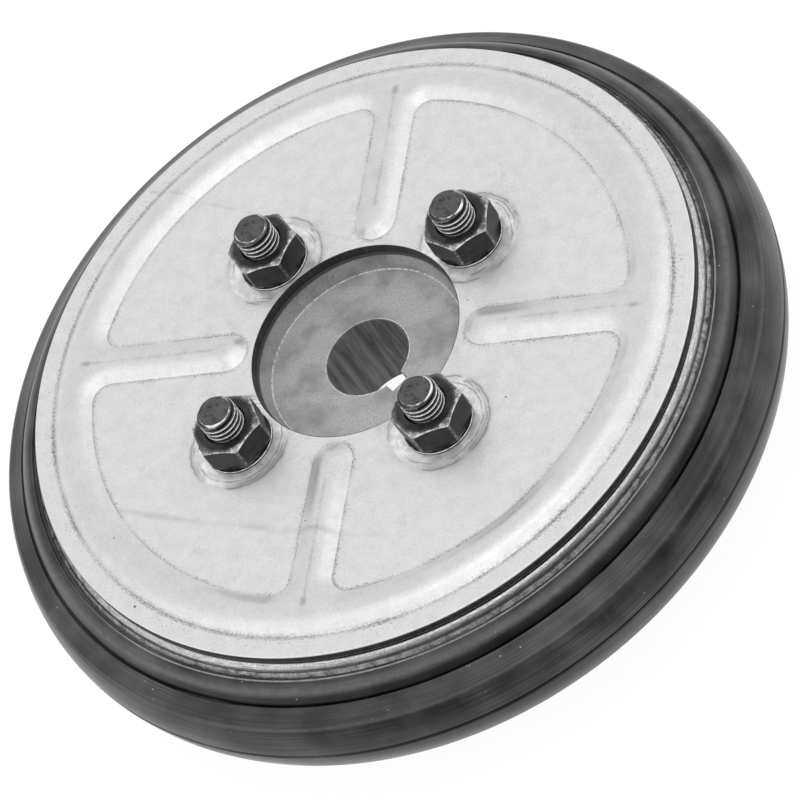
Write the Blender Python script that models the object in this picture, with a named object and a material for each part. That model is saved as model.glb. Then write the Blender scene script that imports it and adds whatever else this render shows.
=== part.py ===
"""Clutch drive disc: a rubber-tyred steel rim held between two pressed plates on a keyed hub.

The disc lies flat on its bolt heads with its nut side up. The axis of the disc is Z, the origin
lies on the axis at the level of the bolt heads' undersides, and the pressed spoke ribs run along
X and Y. Everything is in metres.
"""

import math

import bmesh
import bpy

# Pressed plates, one on each face of the disc
PLATE_RADIUS = 0.0700
PLATE_THICKNESS = 0.0020
PLATE_HOLE_RADIUS = 0.0220
PLATE_EDGE_BREAK = 0.0003

# Ribs pressed outwards: one ring inside the plate's border, and spokes that run into it
BORDER_WIDTH = 0.0042
COLLAR_WIDTH = 0.0014
SPOKE_COUNT = 4
SPOKE_CORNER_RADIUS = 0.0035
RIB_HEIGHT = 0.0017
RIB_CREST_WIDTH = 0.0006
RIB_FOOT_BEND = 0.0014
RIB_BACK_BEND = 0.0025

# Hub, clamped between the plates
CORE_WIDTH = 0.0277
HUB_MARGIN = 0.0100
HUB_EDGE_BREAK = 0.0010
RECESS_DEPTH = 0.0041
RECESS_DRAFT = 0.0013
BORE_RADIUS = 0.00875
BORE_EDGE_BREAK = 0.0004
KEYWAY_WIDTH = 0.0040
KEYWAY_DEPTH = 0.0021
KEYWAY_ANGLE_DEG = -41.0

# Rim ring, clamped between the plates' borders, which it stands proud of
RIM_PROUD = 0.0020
RIM_LAND_WIDTH = 0.0012
RIM_LAND_DROP = 0.0022
RIM_ROUNDING_WIDTH = 0.0016
RIM_ROUNDING_DROP = 0.0013

# Rubber tyre, bonded round the rim ring
TYRE_THICKNESS = 0.0102
TREAD_CROWN = 0.0016
NECK_THICKNESS = 0.0046
BEAD_THICKNESS = 0.0040
BEAD_CORNER_RADIUS = 0.0017
BEAD_INSET = 0.00175
BEAD_HEIGHT = 0.0031
SHOULDER_HEIGHT = 0.00225
LIP_WIDTH = 0.0007
LIP_DROP = 0.0002

# Bolts and nuts, M8
BOLT_MARGIN = 0.0080
BOLT_RADIUS = 0.0040
BOLT_END_CHAMFER = 0.0007
BOLT_PROJECTION = 0.0117
HEAD_HEIGHT = 0.0053
NUT_HEIGHT = 0.0068
NUT_WALL = 0.0025
HEX_FACE_INSET = 0.00015
HEX_CHAMFER_DEG = 30.0
NUT_TURNS_DEG = (4.0, -19.0, 29.0, -13.0)
HEAD_TURNS_DEG = (8.0, 41.0, 22.0, 52.0)

# Gap left between pieces that touch, and round the bolts
CLEARANCE = 0.0003

# How far a cut runs past the surface that it opens
CUT_OVERRUN = 0.0030

# Fineness of the round shapes
DISC_SEGMENTS = 64
HUB_SEGMENTS = 48
BOLT_HOLE_SEGMENTS = 16
HEX_SIDE_STEPS = 4
RIB_FOOT_STEPS = 2
RIB_CREST_STEPS = 3
FIELD_ARC_STEPS = 9
SPOKE_CORNER_STEPS = 3
SPOKE_END_STEPS = 6
BEAD_CORNER_STEPS = 4
CROWN_STEPS = 4
RIM_ROUNDING_STEPS = 3
SMOOTH_ANGLE_DEG = 35.0

# Shape across a rib: two bends that meet at the rib's steepest slope
RIB_CREST_BEND = PLATE_THICKNESS + RIB_BACK_BEND
RIB_SLOPE = math.acos(1.0 - RIB_HEIGHT / (RIB_FOOT_BEND + RIB_CREST_BEND))
RIB_SIDE_RUN = (RIB_FOOT_BEND + RIB_CREST_BEND) * math.sin(RIB_SLOPE)
RIB_HALF_WIDTH = RIB_SIDE_RUN + RIB_CREST_WIDTH / 2

# Radii that follow from the sizes above
RING_RIB_OUTER = PLATE_RADIUS - BORDER_WIDTH
RING_RIB_INNER = RING_RIB_OUTER - 2 * RIB_HALF_WIDTH
SPOKE_END_RADIUS = PLATE_HOLE_RADIUS + COLLAR_WIDTH + RIB_HALF_WIDTH
BOLT_CIRCLE_RADIUS = PLATE_HOLE_RADIUS + BOLT_MARGIN
HUB_RADIUS = BOLT_CIRCLE_RADIUS + HUB_MARGIN
RIM_RADIUS = PLATE_RADIUS + RIM_PROUD
HEX_FLAT_RADIUS = BOLT_RADIUS + NUT_WALL
HEX_FACE_RADIUS = HEX_FLAT_RADIUS - HEX_FACE_INSET
SPOKE_PITCH_DEG = 360.0 / SPOKE_COUNT

# Levels of the stack, from the bolt heads up
BACK_FACE_Z = HEAD_HEIGHT + CLEARANCE
CORE_BOTTOM_Z = BACK_FACE_Z + PLATE_THICKNESS + CLEARANCE
CORE_TOP_Z = CORE_BOTTOM_Z + CORE_WIDTH
FRONT_FACE_Z = CORE_TOP_Z + CLEARANCE + PLATE_THICKNESS
BOLT_TIP_Z = FRONT_FACE_Z + BOLT_PROJECTION


def clear_scene():
    for obj in list(bpy.data.objects):
        bpy.data.objects.remove(obj, do_unlink=True)


def material(name, colour, roughness, metallic):
    mat = bpy.data.materials.new(name)
    mat.use_nodes = True
    shader = mat.node_tree.nodes["Principled BSDF"]
    shader.inputs["Base Color"].default_value = (*colour, 1.0)
    shader.inputs["Roughness"].default_value = roughness
    shader.inputs["Metallic"].default_value = metallic
    return mat


def finish_mesh(bm, name):
    """Turn a bmesh into a mesh with outward faces and smooth round stretches."""
    bmesh.ops.recalc_face_normals(bm, faces=bm.faces)
    mesh = bpy.data.meshes.new(name)
    bm.to_mesh(mesh)
    bm.free()
    mesh.shade_smooth()
    mesh.set_sharp_from_angle(angle=math.radians(SMOOTH_ANGLE_DEG))
    return mesh


def place(name, mesh, mat, location=(0.0, 0.0, 0.0), rotation=(0.0, 0.0, 0.0)):
    obj = bpy.data.objects.new(name, mesh)
    obj.location = location
    obj.rotation_euler = rotation
    if not mesh.materials:
        mesh.materials.append(mat)
    bpy.context.collection.objects.link(obj)
    return obj


def arc(centre, radius, start_deg, end_deg, steps, last=True):
    """Points along an arc; the last point can be left to the stretch that follows."""
    points = []
    for i in range(steps + (1 if last else 0)):
        angle = math.radians(start_deg + (end_deg - start_deg) * i / steps)
        points.append((centre[0] + radius * math.cos(angle), centre[1] + radius * math.sin(angle)))
    return points


def circle(radius, segments, centre=(0.0, 0.0), start_deg=0.0):
    return arc(centre, radius, start_deg, start_deg + 360.0, segments, last=False)


def turned_about_z(points, angle_deg):
    c = math.cos(math.radians(angle_deg))
    s = math.sin(math.radians(angle_deg))
    return [(c * x - s * y, s * x + c * y) for x, y in points]


def add_loop(bm, points, heights):
    """A closed loop of vertices and edges, at one height or at one height for each point."""
    if not isinstance(heights, list):
        heights = [heights] * len(points)
    verts = [bm.verts.new((x, y, z)) for (x, y), z in zip(points, heights)]
    for i, vert in enumerate(verts):
        bm.edges.new((vert, verts[(i + 1) % len(verts)]))
    return verts


def join_loops(bm, first, second):
    count = len(first)
    for i in range(count):
        j = (i + 1) % count
        bm.faces.new((first[i], first[j], second[j], second[i]))


def join_stack(bm, loops):
    for first, second in zip(loops, loops[1:]):
        join_loops(bm, first, second)


def fill_between(bm, loops):
    """Fill the flat area inside the first loop and outside the others."""
    edges = []
    for loop in loops:
        for i, vert in enumerate(loop):
            edges.append(bm.edges.get((vert, loop[(i + 1) % len(loop)])))
    bmesh.ops.triangle_fill(bm, edges=edges, use_beauty=True, normal=(0.0, 0.0, 1.0))


def prism(bm, points, low_z, high_z):
    low = add_loop(bm, points, low_z)
    high = add_loop(bm, points, high_z)
    join_loops(bm, low, high)
    bm.faces.new(low)
    bm.faces.new(high)


def turned_ring(name, profile, segments):
    """A ring turned from a closed profile of (radius, height) points."""
    bm = bmesh.new()
    loops = [add_loop(bm, circle(radius, segments), height) for radius, height in profile]
    join_stack(bm, loops + loops[:1])
    return finish_mesh(bm, name)


def core_profile(half_profile):
    """A profile of (radius, drop from the core's end face), used at both ends of the core."""
    upper = [(radius, CORE_TOP_Z - drop) for radius, drop in half_profile]
    lower = [(radius, CORE_BOTTOM_Z + drop) for radius, drop in reversed(half_profile)]
    return upper + lower


def bolt_places():
    """The bolts stand midway between the spokes."""
    for i in range(SPOKE_COUNT):
        angle = math.radians(SPOKE_PITCH_DEG * (i + 0.5))
        yield BOLT_CIRCLE_RADIUS * math.cos(angle), BOLT_CIRCLE_RADIUS * math.sin(angle)


def rib_side():
    """Stations across one side of a rib, from the flat plate up to the rib's crest.

    Each is (distance into the rib, height, slope in radians) on the plate's outer surface.
    """
    stations = []
    for i in range(RIB_FOOT_STEPS + 1):
        angle = RIB_SLOPE * i / RIB_FOOT_STEPS
        height = RIB_FOOT_BEND * (1.0 - math.cos(angle))
        stations.append((RIB_FOOT_BEND * math.sin(angle), height, angle))
    for i in range(1, RIB_CREST_STEPS + 1):
        angle = RIB_SLOPE * (1.0 - i / RIB_CREST_STEPS)
        height = RIB_HEIGHT - RIB_CREST_BEND * (1.0 - math.cos(angle))
        stations.append((RIB_SIDE_RUN - RIB_CREST_BEND * math.sin(angle), height, angle))
    return stations


def rib_outline(inset):
    """The edge of the plate's middle field, moved by inset into the ribs round it."""
    reach = RING_RIB_INNER - SPOKE_CORNER_RADIUS
    corner_y = RIB_HALF_WIDTH + SPOKE_CORNER_RADIUS
    corner_x = math.sqrt(reach ** 2 - corner_y ** 2)
    corner_deg = math.degrees(math.atan2(corner_y, corner_x))
    rounding = SPOKE_CORNER_RADIUS + inset
    half = RIB_HALF_WIDTH - inset
    spoke = arc((corner_x, -corner_y), rounding, -corner_deg, 90.0, SPOKE_CORNER_STEPS)
    spoke += arc((SPOKE_END_RADIUS, 0.0), half, -90.0, -270.0, SPOKE_END_STEPS)
    spoke += arc((corner_x, corner_y), rounding, -90.0, corner_deg, SPOKE_CORNER_STEPS, last=False)
    spoke += arc((0.0, 0.0), RING_RIB_INNER + inset, corner_deg, SPOKE_PITCH_DEG - corner_deg,
                 FIELD_ARC_STEPS, last=False)
    outline = []
    for i in range(SPOKE_COUNT):
        outline += turned_about_z(spoke, SPOKE_PITCH_DEG * i)
    return outline


def pressed_plate():
    """The plate's sheet, with its outer face at height 0 and its ribs pressed upwards."""
    bm = bmesh.new()
    surfaces = []
    for depth in (0.0, PLATE_THICKNESS):
        field = []
        border = []
        for distance, height, slope in rib_side():
            inset = distance + depth * math.sin(slope)
            level = height - depth * math.cos(slope)
            field.append(add_loop(bm, rib_outline(inset), level))
            border.append(add_loop(bm, circle(RING_RIB_OUTER - inset, DISC_SEGMENTS), level))
        join_stack(bm, field)
        join_stack(bm, border)
        fill_between(bm, [border[-1], field[-1]])
        hole = add_loop(bm, circle(PLATE_HOLE_RADIUS, HUB_SEGMENTS), -depth)
        bolt_holes = []
        for spot in bolt_places():
            bolt_hole = circle(BOLT_RADIUS + CLEARANCE, BOLT_HOLE_SEGMENTS, spot)
            bolt_holes.append(add_loop(bm, bolt_hole, -depth))
        fill_between(bm, [field[0], hole, *bolt_holes])
        rim = add_loop(bm, circle(PLATE_RADIUS - PLATE_EDGE_BREAK, DISC_SEGMENTS), -depth)
        join_loops(bm, border[0], rim)
        surfaces.append((rim, hole, bolt_holes))
    (rim, hole, bolt_holes), (rim_back, hole_back, bolt_holes_back) = surfaces
    edge = circle(PLATE_RADIUS, DISC_SEGMENTS)
    edge_top = add_loop(bm, edge, -PLATE_EDGE_BREAK)
    edge_bottom = add_loop(bm, edge, PLATE_EDGE_BREAK - PLATE_THICKNESS)
    join_stack(bm, [rim, edge_top, edge_bottom, rim_back])
    join_loops(bm, hole, hole_back)
    for front, back in zip(bolt_holes, bolt_holes_back):
        join_loops(bm, front, back)
    return finish_mesh(bm, "pressed_plate")


def hub_cutter(mat):
    """What is cut from the turned hub: the bolt holes and the keyway."""
    bm = bmesh.new()
    for spot in bolt_places():
        hole = circle(BOLT_RADIUS + CLEARANCE, BOLT_HOLE_SEGMENTS, spot)
        prism(bm, hole, CORE_BOTTOM_Z - CUT_OVERRUN, CORE_TOP_Z + CUT_OVERRUN)

    half_key = KEYWAY_WIDTH / 2
    floor = BORE_RADIUS + KEYWAY_DEPTH
    key = [(0.0, -half_key), (floor, -half_key), (floor, half_key), (0.0, half_key)]
    prism(bm, turned_about_z(key, KEYWAY_ANGLE_DEG), CORE_BOTTOM_Z, CORE_TOP_Z)
    cutter = place("hub_cutter", finish_mesh(bm, "hub_cutter"), mat)
    cutter.hide_render = True
    cutter.display_type = "WIRE"
    return cutter


def add_hub(mat):
    """The recess at each end opens as wide as the plates' holes and narrows to its floor."""
    half_profile = [
        (BORE_RADIUS, RECESS_DEPTH + BORE_EDGE_BREAK),
        (BORE_RADIUS + BORE_EDGE_BREAK, RECESS_DEPTH),
        (PLATE_HOLE_RADIUS - RECESS_DRAFT, RECESS_DEPTH),
        (PLATE_HOLE_RADIUS, 0.0),
        (HUB_RADIUS - HUB_EDGE_BREAK, 0.0),
        (HUB_RADIUS, HUB_EDGE_BREAK),
    ]
    hub = place("hub", turned_ring("hub", core_profile(half_profile), HUB_SEGMENTS), mat)
    cut = hub.modifiers.new("cut", "BOOLEAN")
    cut.operation = "DIFFERENCE"
    cut.solver = "EXACT"
    cut.object = hub_cutter(mat)


def add_rim_ring(mat):
    """The ring that the plates clamp by their borders."""
    seat_radius = RIM_RADIUS - RIM_LAND_WIDTH - RIM_ROUNDING_WIDTH
    half_profile = [(RING_RIB_OUTER, 0.0)]
    for i in range(RIM_ROUNDING_STEPS + 1):
        angle = math.pi / 2 * i / RIM_ROUNDING_STEPS
        half_profile.append((seat_radius + RIM_ROUNDING_WIDTH * math.sin(angle),
                             RIM_ROUNDING_DROP * (1.0 - math.cos(angle))))
    half_profile.append((RIM_RADIUS, RIM_LAND_DROP))
    place("rim_ring", turned_ring("rim_ring", core_profile(half_profile), DISC_SEGMENTS), mat)


def add_tyre(mat):
    """A lip, a round-cornered bead and a neck at each side, and a crowned tread between them."""
    bond = RIM_RADIUS + CLEARANCE
    neck_drop = BEAD_INSET + BEAD_HEIGHT
    tread_drop = neck_drop + SHOULDER_HEIGHT
    tread_half_width = CORE_WIDTH / 2 - tread_drop
    half_profile = [(bond, RIM_LAND_DROP), (bond + LIP_WIDTH, BEAD_INSET + LIP_DROP)]
    corner = (bond + BEAD_THICKNESS - BEAD_CORNER_RADIUS, BEAD_INSET + BEAD_CORNER_RADIUS)
    half_profile += arc(corner, BEAD_CORNER_RADIUS, -90.0, 0.0, BEAD_CORNER_STEPS)
    half_profile.append((bond + NECK_THICKNESS, neck_drop))
    for i in range(CROWN_STEPS):
        step = 1.0 - i / CROWN_STEPS
        half_profile.append((bond + TYRE_THICKNESS - TREAD_CROWN * step ** 2,
                             tread_drop + tread_half_width * (1.0 - step)))
    profile = core_profile(half_profile)
    crest = (bond + TYRE_THICKNESS, (CORE_TOP_Z + CORE_BOTTOM_Z) / 2)
    profile.insert(len(half_profile), crest)
    place("rubber_tyre", turned_ring("rubber_tyre", profile, DISC_SEGMENTS), mat)


def hex_loops(bm, low_z, high_z, top_chamfered):
    """The loops of a hexagon from its underside up, turned to a cone at its chamfered ends."""
    outline = []
    for i in range(6 * HEX_SIDE_STEPS):
        side, step = divmod(i, HEX_SIDE_STEPS)
        across = HEX_FLAT_RADIUS * math.tan(math.pi / 6) * (2.0 * step / HEX_SIDE_STEPS - 1.0)
        outline += turned_about_z([(HEX_FLAT_RADIUS, across)], 60.0 * side)
    face = circle(HEX_FACE_RADIUS, len(outline), start_deg=-30.0)
    rise = math.tan(math.radians(HEX_CHAMFER_DEG))
    falls = [(math.hypot(x, y) - HEX_FACE_RADIUS) * rise for x, y in outline]
    loops = [add_loop(bm, face, low_z), add_loop(bm, outline, [low_z + fall for fall in falls])]
    if top_chamfered:
        loops.append(add_loop(bm, outline, [high_z - fall for fall in falls]))
        loops.append(add_loop(bm, face, high_z))
    else:
        loops.append(add_loop(bm, outline, high_z))
    return loops


def nut_mesh():
    bm = bmesh.new()
    hole = circle(BOLT_RADIUS + CLEARANCE, 6 * HEX_SIDE_STEPS, start_deg=-30.0)
    low_hole = add_loop(bm, hole, 0.0)
    high_hole = add_loop(bm, hole, NUT_HEIGHT)
    body = hex_loops(bm, 0.0, NUT_HEIGHT, True)
    join_stack(bm, [low_hole, *body, high_hole, low_hole])
    return finish_mesh(bm, "nut")


def bolt_mesh():
    """A hexagon bolt standing on its head, which is chamfered underneath only."""
    bm = bmesh.new()
    head = hex_loops(bm, 0.0, HEAD_HEIGHT, False)
    shank = circle(BOLT_RADIUS, 6 * HEX_SIDE_STEPS, start_deg=-30.0)
    end = circle(BOLT_RADIUS - BOLT_END_CHAMFER, 6 * HEX_SIDE_STEPS, start_deg=-30.0)
    shank_foot = add_loop(bm, shank, HEAD_HEIGHT)
    shank_top = add_loop(bm, shank, BOLT_TIP_Z - BOLT_END_CHAMFER)
    end_loop = add_loop(bm, end, BOLT_TIP_Z)
    join_stack(bm, [*head, shank_foot, shank_top, end_loop])
    bm.faces.new(head[0])
    bm.faces.new(end_loop)
    return finish_mesh(bm, "bolt")


clear_scene()
zinc = material("zinc_plate", (0.74, 0.74, 0.74), 0.38, 0.7)
steel = material("turned_steel", (0.52, 0.52, 0.52), 0.42, 0.9)
cast_iron = material("machined_cast_iron", (0.36, 0.36, 0.36), 0.5, 0.8)
rubber = material("black_rubber", (0.05, 0.05, 0.05), 0.6, 0.0)
black_steel = material("blackened_steel", (0.06, 0.06, 0.06), 0.45, 0.6)

plate = pressed_plate()
place("front_plate", plate, zinc, (0.0, 0.0, FRONT_FACE_Z))
place("back_plate", plate, zinc, (0.0, 0.0, BACK_FACE_Z), (math.pi, 0.0, 0.0))
add_hub(cast_iron)
add_rim_ring(steel)
add_tyre(rubber)

bolt = bolt_mesh()
nut = nut_mesh()
nut_z = FRONT_FACE_Z + CLEARANCE
for i, (x, y) in enumerate(bolt_places()):
    head_turn = math.radians(HEAD_TURNS_DEG[i % len(HEAD_TURNS_DEG)])
    nut_turn = math.radians(NUT_TURNS_DEG[i % len(NUT_TURNS_DEG)])
    place(f"bolt_{i + 1}", bolt, black_steel, (x, y, 0.0), (0.0, 0.0, head_turn))
    place(f"nut_{i + 1}", nut, black_steel, (x, y, nut_z), (0.0, 0.0, nut_turn))
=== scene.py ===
"""Looks of the clutch drive disc: hub, pressed plates, rim ring, rubber tyre, bolts and nuts.

The pieces follow in the order in which the disc is put together. The disc lies flat with its axis
on Z and its nut side up, and all lengths are in metres.
"""

import math

import bmesh
import bpy
from mathutils import Matrix, Vector, noise


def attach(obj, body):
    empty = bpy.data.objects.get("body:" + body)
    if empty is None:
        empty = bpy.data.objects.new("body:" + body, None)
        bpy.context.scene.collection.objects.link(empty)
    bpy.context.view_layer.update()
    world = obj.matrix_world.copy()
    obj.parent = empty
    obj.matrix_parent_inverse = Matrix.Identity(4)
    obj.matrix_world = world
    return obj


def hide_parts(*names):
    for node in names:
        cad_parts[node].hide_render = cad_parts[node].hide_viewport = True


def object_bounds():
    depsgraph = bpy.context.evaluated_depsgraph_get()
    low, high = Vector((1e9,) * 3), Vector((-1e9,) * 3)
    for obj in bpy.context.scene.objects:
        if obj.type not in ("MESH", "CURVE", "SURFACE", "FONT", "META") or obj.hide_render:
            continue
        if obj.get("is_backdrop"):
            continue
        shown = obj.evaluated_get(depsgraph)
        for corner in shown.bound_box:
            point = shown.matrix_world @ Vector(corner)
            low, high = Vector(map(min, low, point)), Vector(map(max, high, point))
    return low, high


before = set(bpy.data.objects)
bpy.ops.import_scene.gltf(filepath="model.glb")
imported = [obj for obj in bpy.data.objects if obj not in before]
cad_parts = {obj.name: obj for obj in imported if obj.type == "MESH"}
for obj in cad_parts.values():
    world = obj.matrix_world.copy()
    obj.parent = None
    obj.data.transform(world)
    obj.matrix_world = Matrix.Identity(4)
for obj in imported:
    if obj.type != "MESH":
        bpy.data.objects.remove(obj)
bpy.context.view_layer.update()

# Hub
# A spool of grey cast iron, turned on its ends and in the recess at each end, then bored and
# keyed. The bolts clamp the two plates against its ends.
MM = 0.001
core_bottom_z = 7.9 * MM
core_top_z = 35.6 * MM
core_middle_z = (core_top_z + core_bottom_z) / 2
core_half = (core_top_z - core_bottom_z) / 2
hub_radius = 40.0 * MM
hub_edge_break = 1.0 * MM
recess_mouth_radius = 22.0 * MM
recess_mouth_break = 0.06 * MM
recess_floor_radius = 20.7 * MM
recess_foot_radius = 0.35 * MM
recess_depth = 4.1 * MM
bore_radius = 8.75 * MM
bore_edge_break = 0.35 * MM
bore_burr_height = 0.12 * MM
keyway_width = 4.0 * MM
keyway_depth = 2.1 * MM
keyway_angle = math.radians(-41.0)
bolt_circle_radius = 30.0 * MM
bolt_radius = 4.0 * MM
bolt_play = 0.3 * MM
spoke_count = 4
bolt_angles = [math.radians(45.0 + 90.0 * i) for i in range(spoke_count)]
bolt_places = [(bolt_circle_radius * math.cos(angle), bolt_circle_radius * math.sin(angle))
               for angle in bolt_angles]
cut_overrun = 3.0 * MM
hub_segments = 240


def linear(hex_colour):
    """An sRGB hex colour as a linear colour with full alpha."""
    channels = [int(hex_colour[i:i + 2], 16) / 255.0 for i in (1, 3, 5)]
    bright = [c / 12.92 if c <= 0.04045 else ((c + 0.055) / 1.055) ** 2.4 for c in channels]
    return (*bright, 1.0)


def set_inputs(tree, node, inputs):
    """Set inputs to numbers or hex colours, or link them to sockets or to other nodes' results."""
    for name, value in inputs.items():
        if isinstance(value, bpy.types.Node):
            value = next(result for result in value.outputs if result.enabled)
        if isinstance(value, bpy.types.NodeSocket):
            tree.links.new(value, node.inputs[name])
        else:
            node.inputs[name].default_value = linear(value) if isinstance(value, str) else value


def add_node(tree, kind, inputs=None, **settings):
    """Add a node, set its properties, and set or link its inputs."""
    node = tree.nodes.new("ShaderNode" + kind)
    for name, value in settings.items():
        setattr(node, name, value)
    set_inputs(tree, node, inputs or {})
    return node


def start_material(name, metallic, roughness):
    """A new material with its node tree, its shader and the piece's own coordinates."""
    made = bpy.data.materials.new(name)
    made.use_nodes = True
    tree = made.node_tree
    shader = tree.nodes["Principled BSDF"]
    set_inputs(tree, shader, {"Metallic": metallic, "Roughness": roughness})
    place = add_node(tree, "TexCoord").outputs["Object"]
    return made, tree, shader, place


def specks(tree, place, spacing, bare_share, reach):
    """A mask of scattered specks, each of its own size up to the reach, with none in the bare share."""
    cells = add_node(tree, "TexVoronoi", {"Vector": place, "Scale": 1 / spacing})
    chance = cells.outputs["Color"]
    own_reach = add_node(tree, "MapRange", {0: chance, 1: bare_share, 4: reach / spacing})
    return add_node(tree, "Math", {0: cells, 1: own_reach}, operation="LESS_THAN")


def about_axis(tree, place):
    """The place's x, y and z, its part in the disc's plane, and its distance from the axis."""
    axes = add_node(tree, "SeparateXYZ", {0: place})
    flat = add_node(tree, "CombineXYZ", {0: axes.outputs[0], 1: axes.outputs[1]})
    radius = add_node(tree, "VectorMath", {0: flat}, operation="LENGTH")
    return axes, flat, radius


def arc(centre, radius, start, end, steps, last=True):
    """Points along an arc between two angles in degrees."""
    points = []
    for i in range(steps + (1 if last else 0)):
        angle = math.radians(start + (end - start) * i / steps)
        points.append((centre[0] + radius * math.cos(angle), centre[1] + radius * math.sin(angle)))
    return points


def turned(points, angle):
    """Points in the plane, turned about the axis by an angle in radians."""
    c = math.cos(angle)
    s = math.sin(angle)
    return [(c * x - s * y, s * x + c * y) for x, y in points]


def turned_mesh(name, section_at, segments):
    """A ring whose closed section, at each angle, is a list of (radius, height) points."""
    verts = []
    faces = []
    for i in range(segments):
        angle = 2.0 * math.pi * i / segments
        section = section_at(angle)
        verts += [(r * math.cos(angle), r * math.sin(angle), z) for r, z in section]
    count = len(verts) // segments
    for i in range(segments):
        here = i * count
        there = (i + 1) % segments * count
        for k in range(count):
            m = (k + 1) % count
            faces.append((here + k, there + k, there + m, here + m))
    mesh = bpy.data.meshes.new(name)
    mesh.from_pydata(verts, [], faces)
    return mesh


def finish_mesh(mesh, sharp_degrees):
    """Turn the faces outwards, and shade smooth with creases at the sharper edges."""
    bm = bmesh.new()
    bm.from_mesh(mesh)
    bmesh.ops.recalc_face_normals(bm, faces=bm.faces)
    bm.to_mesh(mesh)
    bm.free()
    mesh.shade_smooth()
    mesh.set_sharp_from_angle(angle=math.radians(sharp_degrees))
    return mesh


def show_piece(name, mesh, materials, slot, *nodes, matrix=Matrix.Identity(4)):
    """Put a finished piece in the scene in the place of its CAD nodes."""
    piece = bpy.data.objects.new(name, mesh)
    bpy.context.scene.collection.objects.link(piece)
    piece.matrix_world = matrix
    if not mesh.materials:
        for each in materials:
            mesh.materials.append(each)
    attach(piece, "root")
    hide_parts(*nodes)
    return piece


def both_ends(half_section):
    """A section for both ends of the core, from (radius, drop below the end face) points."""
    upper = [(r, core_top_z - drop) for r, drop in half_section]
    lower = [(r, core_bottom_z + drop) for r, drop in reversed(half_section)]
    return upper + lower


def add_prism(bm, points, low_z, high_z):
    """Add a closed prism over an outline."""
    low = [bm.verts.new((x, y, low_z)) for x, y in points]
    high = [bm.verts.new((x, y, high_z)) for x, y in points]
    for i in range(len(points)):
        j = (i + 1) % len(points)
        bm.faces.new((low[i], low[j], high[j], high[i]))
    bm.faces.new(low)
    bm.faces.new(high)


def hub_section(angle):
    """Section of the whole spool. The bore's edge carries a burr, pushed up by the boring tool."""
    burr = bore_burr_height * (0.5 + noise.noise((3.0 * math.cos(angle), 3.0 * math.sin(angle), 0.0)))
    return both_ends([
        (bore_radius, recess_depth + bore_edge_break),
        (bore_radius + 0.08 * MM, recess_depth - burr),
        (bore_radius + 0.22 * MM, recess_depth - burr * 0.6),
        (bore_radius + bore_edge_break, recess_depth),
        (recess_floor_radius - recess_foot_radius, recess_depth),
        (recess_floor_radius - 0.09 * MM, recess_depth - 0.05 * MM),
        (recess_floor_radius + 0.02 * MM, recess_depth - 0.25 * MM),
        (recess_mouth_radius - 0.1 * MM, recess_mouth_break),
        (recess_mouth_radius + recess_mouth_break, 0.0),
        (hub_radius - hub_edge_break, 0.0),
        (hub_radius, hub_edge_break),
    ])


cutter_bm = bmesh.new()
for x, y in bolt_places:
    hole = arc((x, y), bolt_radius + bolt_play, 0.0, 360.0, 32, last=False)
    add_prism(cutter_bm, hole, core_bottom_z - cut_overrun, core_top_z + cut_overrun)
key_floor = bore_radius + keyway_depth
key = [(0.0, -keyway_width / 2), (key_floor, -keyway_width / 2)]
key += [(key_floor, keyway_width / 2), (0.0, keyway_width / 2)]
add_prism(cutter_bm, turned(key, keyway_angle), core_bottom_z, core_top_z)
bmesh.ops.recalc_face_normals(cutter_bm, faces=cutter_bm.faces)
cutter_mesh = bpy.data.meshes.new("hub_cutter")
cutter_bm.to_mesh(cutter_mesh)
cutter_bm.free()
cutter = bpy.data.objects.new("hub_cutter", cutter_mesh)
blank_mesh = finish_mesh(turned_mesh("hub_blank", hub_section, hub_segments), 30.0)
blank = bpy.data.objects.new("hub_blank", blank_mesh)
for helper in (cutter, blank):
    bpy.context.scene.collection.objects.link(helper)
cut = blank.modifiers.new("cut", "BOOLEAN")
cut.operation = "DIFFERENCE"
cut.solver = "EXACT"
cut.object = cutter
bored_blank = blank.evaluated_get(bpy.context.evaluated_depsgraph_get())
hub_mesh = bpy.data.meshes.new_from_object(bored_blank)
for helper in (cutter, blank):
    bpy.data.objects.remove(helper, do_unlink=True)
finish_mesh(hub_mesh, 30.0)

# Machined cast iron: mid grey with faint tool rings, open pores and oily patches on the faces,
# and lengthwise reaming streaks in the bore, which is painted darker as shade.
iron_grey = "#B4B4B4"
iron_dull = "#929292"
iron_grain = "#868686"
iron_painted_shade = "#4E4E4E"
iron_pore = "#4A4A4A"
iron_burnish_highlight = "#E8E8E8"
bore_painted_shade = "#646464"
bore_streak = "#BCBCBC"
iron, tree, shader, place = start_material("machined_cast_iron", 0.3, 0.6)
axes, _, radius = about_axis(tree, place)
patches = add_node(tree, "TexNoise", {"Vector": place, "Scale": 1 / (6 * MM), "Detail": 6.0})
patch_mask = add_node(tree, "MapRange", {0: patches, 1: 0.42, 2: 0.66})

# The real tool rings are about 0.1 mm apart; they are drawn at 0.7 mm so that they show.
ring_count = add_node(tree, "Math", {0: radius, 1: 1 / (0.7 * MM)}, operation="MULTIPLY")
rings = add_node(tree, "TexNoise", {"W": ring_count, "Scale": 1.0, "Detail": 2.0}, noise_dimensions="1D")

# The grain of the iron is finer than this; it is drawn at half a millimetre so that it shows.
grain = add_node(tree, "TexNoise",
                 {"Vector": place, "Scale": 1 / (0.5 * MM), "Detail": 3.0, "Roughness": 0.7})
grain_mask = add_node(tree, "MapRange", {0: grain, 1: 0.44, 2: 0.70, 4: 0.62})
pore_mask = specks(tree, place, 2.4 * MM, 0.40, 0.24 * MM)
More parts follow.
